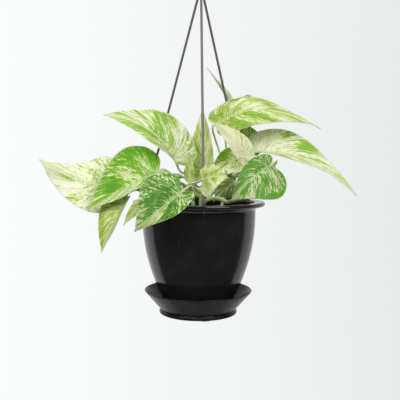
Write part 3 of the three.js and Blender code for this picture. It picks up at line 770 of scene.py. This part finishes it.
# A stem's points, the first without a height because it stands in the potting mix, and its
# stalks: (leaf, where the stalk leaves the stem as a share of it, a point it passes over).
VINES = [
    {"name": "vine_left", "stem": [(-22, -8), (-30, -12, 4), (-40, -16, 16)],
     "stalks": [("leaf_far_left", 1, (-62, -8, 12)), ("leaf_left", 0.4, (-26, -16, 26)),
                ("leaf_left_hanging", 1, (-62, -28, 17))]},
    {"name": "vine_front_left", "stem": [(-8, -30), (-12, -42, -2), (-16, -52, 6)],
     "stalks": [("leaf_front_left", 1, (-9, -64, 20)), ("leaf_left_small", 1, (-42, -54, 14)),
                ("leaf_centre_front", 0.7, (-12, -58, 22))]},
    {"name": "vine_centre", "stem": [(-6, 8), (-7, 8, 6), (-6, 8, 22)],
     "stalks": [("leaf_upper_left", 1, (-12, 3, 30)), ("leaf_centre_upright", 1, (0, 15, 17)),
                ("leaf_small_blade", 0.4, (-7, -3, 9))]},
    {"name": "vine_right", "stem": [(24, 6), (30, 6, 8), (40, 4, 30)],
     "stalks": [("leaf_upper_right", 0.8, (20, 8, 66)), ("leaf_right", 1, (44, 3, 50)),
                ("leaf_cream_folded", 1, (65, -24, 38)), ("leaf_right_behind", 1, (54, 16, 38)),
                ("leaf_top_unfurling", 1, (30, 22, 72)), ("leaf_centre_shaded", 0.6, (45, -16, 28)),
                ("leaf_centre_marbled", 1, (51, -12, 42))]},
    {"name": "vine_front_right", "stem": [(2, -38), (6, -50, 4), (18, -57, 9), (30, -54, 5)],
     "stalks": [("leaf_front_right", 1, (60, -34, 12))]},
    {"name": "vine_back", "stem": [(2, 28), (2, 34, -2), (2, 38, 8)],
     "stalks": [("leaf_back_left", 1, (-18, 38, 27)), ("leaf_back", 1, (2, 44, 9)),
                ("leaf_back_right", 1, (17, 42, 27)), ("leaf_back_hanging_left", 0.8, (-28, 58, 16)),
                ("leaf_back_hanging_right", 0.8, (33, 56, 15))]},
]
STEM_SIDES = 14


def soil_top(radius):
    """Height of the potting mix at a distance from the axis."""
    return SOIL_Z + SOIL_CROWN * (1 - (radius / NECK_RADIUS) ** 2)


def stem_radius(share, angle):
    """A stem swells at its joints."""
    joints = math.exp(-(((share * 3) % 1 - 0.5) / 0.12) ** 2)
    return 2.1 + 0.5 * joints + 0.08 * math.cos(3 * angle)


def stalk_radius(share, angle):
    """A stalk clasps the stem, thins, swells again below the blade, and has a shallow channel."""
    sheath = 1.0 * math.exp(-((share / 0.12) ** 2))
    knee = 0.35 * math.exp(-(((share - 0.9) / 0.07) ** 2))
    channel = 0.16 * max(0, math.cos(angle)) ** 3
    return 1.15 + sheath + knee - channel


def make_vine(vine, leaves, material):
    """A stem and the stalks that carry its leaves."""
    (x, y), *rest = vine["stem"]
    foot = Vector((x, y, soil_top(math.hypot(x, y)) - 2))
    stem = catmull([foot, *rest], 40)
    parts = [tube(stem, stem_radius, STEM_SIDES)]
    for name, start, over in vine["stalks"]:
        rib = Midrib(leaves[name])
        tangent = rib.tangent(0)
        lead = rib.base - tangent * STALK_LEAD
        end = rib.base + tangent * 2.5 - Vector((0, 0, 0.4))
        origin = stem[round(start * (len(stem) - 1))]
        parts.append(tube(catmull([origin, over, lead, end], 44), stalk_radius, STEM_SIDES))
    piece = add_form(vine["name"].replace("vine_", "stems_"), join_parts(parts))
    run = piece.data.uv_layers.new(name="Run")
    for loop in piece.data.loops:
        ring, side = divmod(loop.vertex_index, STEM_SIDES)
        run.data[loop.index].uv = (math.cos(2 * math.pi * side / STEM_SIDES), ring * 0.25)
    return finish_piece(piece, vine["name"], material)


# ---- Pot, saucer and potting mix ----------------------------------------------------

# Radius and height of the outside of the pot's wall.
POT_BODY = [(NECK_RADIUS, -14), (63.7, -30), (61.4, -48), (57.9, -64), (53, -80), (46.4, -97), (41, -108)]


def arm_holes():
    """Cutters for the holes in the lip that the arms pass through."""
    radius = ARM_RADIUS + 0.3
    holes = []
    for index in range(ARM_COUNT):
        low, high = arm_ends(index)
        along = (high - low).normalized()
        middle = low + along * (-low.z / along.z)
        ends = [middle - along * 7, middle + along * 7]
        holes.append(tube(ends, lambda share, angle: radius, 24))
    return holes


def drain_holes():
    """Cutters for the drain holes in the pot's floor."""
    holes = []
    for index in range(DRAIN_COUNT):
        spot = round_axis(DRAIN_CIRCLE, 2 * math.pi * index / DRAIN_COUNT, POT_FOOT_Z)
        ends = [spot - Vector((0, 0, 3)), spot + Vector((0, 0, 6))]
        holes.append(tube(ends, lambda share, angle: DRAIN_RADIUS, 24))
    return holes


def make_pot(material):
    """The pot with its lip, its holes for the arms and its drain holes."""
    body = [(point.x, point.y) for point in catmull([(*point, 0) for point in POT_BODY], 40)]
    inside = [(radius - WALL, height) for radius, height in body]
    profile = [
        (0, POT_FOOT_Z), (POT_FOOT_RADIUS, POT_FOOT_Z), (POT_FOOT_RADIUS + 1.5, POT_FOOT_Z + 2.5),
        *reversed(body), (NECK_RADIUS, -6.5), (NECK_RADIUS + 2, -4.2), (RIM_RADIUS - 1.4, -2.4),
        (RIM_RADIUS, -1.0), (RIM_RADIUS, 0.8), (RIM_RADIUS - 1.2, LIP_HALF),
        (NECK_RADIUS - 0.6, LIP_HALF - 0.4), (NECK_RADIUS - WALL, 0), *inside,
        (POT_FOOT_RADIUS - WALL, POT_FOOT_Z + 3), (0, POT_FOOT_Z + 3),
    ]
    piece = add_form("pot_shell", turned(rounded(profile, 1.1)))
    cut(piece, arm_holes() + drain_holes())
    return finish_piece(piece, "pot", material)


def make_saucer(material):
    """The saucer's cone on its foot ring, with three small feet."""
    floor = POT_FOOT_Z - SAUCER_GAP
    under = FOOT_RING_Z + 3.8
    profile = [
        (0, under), (FOOT_RING_INSIDE - 0.2, under), (FOOT_RING_INSIDE + 0.2, FOOT_RING_Z),
        (FOOT_RING_RADIUS - 1, FOOT_RING_Z), (FOOT_RING_RADIUS, FOOT_RING_Z + 0.8),
        (FOOT_RING_RADIUS - 0.3, under), (SAUCER_NECK_RADIUS, under + 0.9), (49, -114.3), (55, -107.4),
        (SAUCER_RADIUS - 0.5, -100.6), (SAUCER_RADIUS, -99.7), (SAUCER_RADIUS - 1, -99.1),
        (SAUCER_RADIUS - 2.4, -99.8), (53.7, -106), (48.4, -112.2), (SAUCER_NECK_RADIUS, floor), (0, floor),
    ]
    parts = [turned(rounded(profile, 0.9))]
    for index in range(FOOT_COUNT):
        parts.append(foot_pad(math.radians(FOOT_START_ANGLE + 360 / FOOT_COUNT * index)))
    return make_piece("saucer_dish", join_parts(parts), "saucer", material)


def points_and_faces(bm):
    """The points and faces of a bmesh, which is freed."""
    points = [vertex.co.copy() for vertex in bm.verts]
    faces = [tuple(vertex.index for vertex in face.verts) for face in bm.faces]
    bm.free()
    return points, faces


def foot_pad(angle):
    """A small foot under the foot ring, with rounded edges."""
    bm = bmesh.new()
    bmesh.ops.create_cube(bm, size=1)
    bmesh.ops.scale(bm, vec=FOOT_SIZE, verts=bm.verts)
    bmesh.ops.bevel(bm, geom=bm.edges[:], offset=0.5, segments=3, affect="EDGES")
    bmesh.ops.translate(bm, vec=(0, -FOOT_CIRCLE, FOOT_BOTTOM_Z + FOOT_SIZE[2] / 2), verts=bm.verts)
    bmesh.ops.rotate(bm, matrix=Matrix.Rotation(angle, 3, "Z"), verts=bm.verts)
    return points_and_faces(bm)


def make_soil(material):
    """A lumpy bed of potting mix, closed underneath like its CAD solid."""
    rings, segments = 46, 110
    edge = NECK_RADIUS - WALL - 0.5
    points = []
    for ring in range(rings, 0, -1):
        radius = edge * ring / rings
        for segment in range(segments):
            spot = round_axis(radius, 2 * math.pi * segment / segments, 0)
            lumps = 1.3 * noise.noise(spot * 0.11) + 0.8 * noise.noise(spot * 0.4 + Vector((9, 0, 0)))
            points.append(spot + Vector((0, 0, soil_top(radius) + lumps - 0.6)))
    bottom = POT_FOOT_Z + 4
    lowest = [Vector((point.x * 0.5, point.y * 0.5, bottom)) for point in points[:segments]]
    form = skin(lowest + points, segments, Vector((0, 0, bottom)), Vector((0, 0, soil_top(0))))
    return make_piece("soil_bed", form, "potting_mix", material)


def crumb(rng, middle, size, flatness):
    """One irregular crumb: a rough ball, stretched and turned at random."""
    bm = bmesh.new()
    bmesh.ops.create_icosphere(bm, subdivisions=2, radius=1)
    stretch = Vector((size, size * rng.uniform(0.5, 0.9), size * flatness))
    offset = Vector((rng.uniform(0, 50), 0, 0))
    for vertex in bm.verts:
        rough = 1 + 0.35 * noise.noise(vertex.co * 1.4 + offset)
        vertex.co = Vector(a * b for a, b in zip(vertex.co, stretch)) * rough
    turn = Matrix.Rotation(rng.uniform(0, 6.28), 3, "Z") @ Matrix.Rotation(rng.uniform(-0.6, 0.6), 3, "X")
    points, faces = points_and_faces(bm)
    return [turn @ point + middle for point in points], faces


def make_crumbs(name, count, seed, sizes, flatness, material):
    """Crumbs scattered over the potting mix, as one piece."""
    rng = random.Random(seed)
    parts = []
    for _ in range(count):
        radius = CRUMB_CIRCLE * math.sqrt(rng.random())
        angle = rng.uniform(0, 2 * math.pi)
        height = soil_top(radius) + rng.uniform(-0.4, 0.6)
        middle = round_axis(radius, angle, height)
        parts.append(crumb(rng, middle, rng.uniform(*sizes), flatness))
    return make_piece(name, join_parts(parts), None, material)


# ---- Hanger -------------------------------------------------------------------------


def arm_ends(index):
    """The lower end of an arm, under the lip, and its upper end, at the hub."""
    angle = math.radians(ARM_START_ANGLE + 360 / ARM_COUNT * index)
    foot = Vector((ARM_CIRCLE * math.sin(angle), -ARM_CIRCLE * math.cos(angle), 0))
    along = (Vector((0, 0, HUB_Z)) - foot).normalized()
    return foot + along * (-ARM_BELOW_LIP / along.z), foot + along * ((HUB_BOTTOM_Z + 1) / along.z)


def make_arm(name, index, material):
    """A thin rod with a knob below the lip and a collar on top of it."""
    low, high = arm_ends(index)
    length = (high - low).length
    # Each stop is a distance along the rod and its radius there.
    foot = [(0, 0.7), (0.8, 1.2), (1.6, 1.5), (2.6, 1.7), (3.0, 1.6), (3.4, ARM_RADIUS), (10.8, ARM_RADIUS),
            (11.0, COLLAR_RADIUS - 0.2), (11.4, COLLAR_RADIUS), (19.8, COLLAR_RADIUS),
            (20.6, COLLAR_RADIUS - 0.4)]
    stops = foot + [(22 + (length - 22) * step / 40, ARM_RADIUS) for step in range(41)]
    route = [low + (high - low) * (stop / length) for stop, _ in stops]

    def radius_at(share, angle):
        seam = 0.1 * (abs(math.sin(angle)) < 0.15)
        return stops[round(share * (len(stops) - 1))][1] + seam

    form = tube(route, radius_at, 24)
    return make_piece("arm_rod_" + name, form, "hanger_arm_" + name, material)


def make_hook(material):
    """The hub that takes the three arms, and the hook that grows out of it."""
    hub = turned(rounded([
        (0, HUB_BOTTOM_Z), (HUB_RADIUS - 1, HUB_BOTTOM_Z), (HUB_RADIUS, HUB_BOTTOM_Z + 1),
        (HUB_RADIUS, HUB_BOTTOM_Z + 3), (HUB_RADIUS - 0.6, HUB_BOTTOM_Z + 3.6),
        (HUB_RADIUS - 0.6, HUB_BOTTOM_Z + 4.6), (HUB_RADIUS, HUB_BOTTOM_Z + 5.2),
        (HUB_RADIUS, HUB_BOTTOM_Z + 7), (HUB_RADIUS - 3, HUB_TOP_Z - 1), (HUB_RADIUS - 4, HUB_TOP_Z),
        (0, HUB_TOP_Z),
    ], 0.6), 64)
    bend = []
    for step in range(12):
        angle = math.radians(-40 + step * 260 / 11)
        bend.append((HOOK_RADIUS * math.cos(angle), 0, HOOK_CENTRE_Z + HOOK_RADIUS * math.sin(angle)))
    shank = [(0, 0, HUB_TOP_Z - 4), (0, 0, HUB_TOP_Z + 3), (3.5, 0, HUB_TOP_Z + 11)]
    route = catmull([*shank, *bend], 140)

    def radius_at(share, angle):
        tip = max(0, (share - 0.97) / 0.03)
        return HOOK_THICKNESS / 2 * math.sqrt(max(0.05, 1 - tip**2))

    form = join_parts([hub, tube(route, radius_at, 24)])
    return make_piece("hook_and_hub", form, "hanger_hook", material)


# ---- Stage, light and camera --------------------------------------------------------

FLOOR_DROP = 1.2                # floor below the lowest foot, in metres
FLOOR_RADIUS = 1.0
CAMERA_OFFSET = (0.0011, -0.718, 0.0538)   # from the middle of the rim, in metres
CAMERA_TILT = math.radians(4.04)
CAMERA_ROLL = math.radians(0.55)
LENS = 56.9
# Brightness of the surroundings from front, at 0, to back, at 1.
WORLD_STOPS = [(0.0, 0.09), (0.61, 0.09), (0.655, 0.8), (1.0, 0.85)]
BACKDROP = (0.895, 0.912, 0.918)


def make_floor():
    """A pale round floor far below the hanging pot, fading out at its edge."""
    nodes = Nodes("floor")
    spot = nodes.place_in_object()
    grain = nodes.noise(spot, 40.0, 2)
    length = nodes.node("VectorMath", operation="LENGTH")
    nodes.link(spot, length.inputs[0])
    fade = nodes.step(length.outputs["Value"], FLOOR_RADIUS * 0.45, FLOOR_RADIUS * 0.98)
    shade = nodes.node("BsdfDiffuse")
    nodes.link(nodes.mix(grain, (0.86, 0.87, 0.875), (0.89, 0.90, 0.905)), shade.inputs["Color"])
    clear = nodes.node("BsdfTransparent")
    both = nodes.mix_shaders(fade, shade.outputs[0], clear.outputs[0])
    nodes.link(both, nodes.output.inputs["Surface"])
    bm = bmesh.new()
    bmesh.ops.create_circle(bm, cap_ends=True, radius=FLOOR_RADIUS, segments=96)
    mesh = bpy.data.meshes.new("floor")
    bm.to_mesh(mesh)
    bm.free()
    floor = add_object("floor", mesh, smooth=False)
    floor.location.z = CAD_BOX[0][2] - FLOOR_DROP
    mesh.materials.append(nodes.owner)


def background(nodes, colour, strength):
    made = nodes.node("Background")
    nodes.link_colour(colour, made.inputs["Color"])
    nodes.link(strength, made.inputs["Strength"])
    return made.outputs[0]


def make_world():
    """White behind and beside the plant and dim in front, as a product table is lit.

    The camera sees an even white, and both get slightly dimmer to the right.
    """
    nodes = Nodes("studio", world=True)
    to_right, to_back, _ = nodes.split(nodes.node("TexCoord").outputs["Generated"])
    front_to_back = nodes.step(to_back, -1, 1, smooth=False)
    greys = [(position, (value,) * 3) for position, value in WORLD_STOPS]
    surroundings = nodes.ramp(front_to_back, greys)
    dimming = nodes.range(nodes.step(to_right, -0.35, 0.35, smooth=False), 1.1, 0.9)
    lit = background(nodes, surroundings, dimming)
    seen = background(nodes, BACKDROP, dimming)
    is_camera = nodes.node("LightPath").outputs["Is Camera Ray"]
    nodes.link(nodes.mix_shaders(is_camera, lit, seen), nodes.output.inputs["Surface"])
    bpy.context.scene.world = nodes.owner


def add_light(name, offset, size, power):
    """A soft light at an offset from the middle of the rim, in metres, aimed at it."""
    light = bpy.data.lights.new(name, "AREA")
    light.shape = "RECTANGLE"
    light.size, light.size_y = size
    light.energy = power
    lamp = bpy.data.objects.new(name, light)
    bpy.context.scene.collection.objects.link(lamp)
    lamp.location = RIM_CENTRE + Vector(offset)
    lamp.rotation_euler = (-Vector(offset)).to_track_quat("-Z", "Y").to_euler()


def make_lights():
    add_light("front_left", (-0.9, -1.3, 1.0), (1.2, 0.9), 24)
    add_light("front_right", (0.9, -1.3, 1.0), (1.2, 0.9), 20)
    add_light("top", (0.0, 0.2, 1.5), (1.4, 1.2), 9)


def make_camera():
    """The camera a little above the rim, at the middle of the front."""
    camera = bpy.data.objects.new("camera", bpy.data.cameras.new("camera"))
    bpy.context.scene.collection.objects.link(camera)
    camera.data.lens = LENS
    camera.data.sensor_width = 36
    turn = Matrix.Rotation(math.pi / 2 - CAMERA_TILT, 4, "X") @ Matrix.Rotation(CAMERA_ROLL, 4, "Z")
    camera.matrix_world = Matrix.Translation(RIM_CENTRE + Vector(CAMERA_OFFSET)) @ turn
    bpy.context.scene.camera = camera


# ---- Assembly -----------------------------------------------------------------------

make_camera()
make_world()
make_lights()
make_floor()
bpy.context.scene.view_settings.view_transform = "Standard"

make_pot(black_plastic("pot_plastic", (0.012, 0.0108, 0.0110), (0.016, 0.0142, 0.0146), 0.13, 0.3, 0.5))
make_saucer(
    black_plastic("saucer_plastic", (0.008, 0.0090, 0.0120), (0.011, 0.0128, 0.0170), 0.22, 0.6, 0.12)
)
make_soil(soil_material())
make_crumbs("bark_chips", 260, 3, (1.2, 3.4), 0.35, bark_material())
make_crumbs("perlite_crumbs", 70, 8, (0.7, 1.6), 0.8, perlite_material())

hanger = hanger_plastic()
for arm_index, arm_name in enumerate(("front", "right", "left")):
    make_arm(arm_name, arm_index, hanger)
make_hook(hanger)

leaves_by_name = {leaf["name"]: leaf for leaf in LEAVES}
stem_green = stem_material()
for vine in VINES:
    make_vine(vine, leaves_by_name, stem_green)
for leaf_seed, leaf in enumerate(LEAVES, start=1):
    make_blade(leaf, leaf_seed)
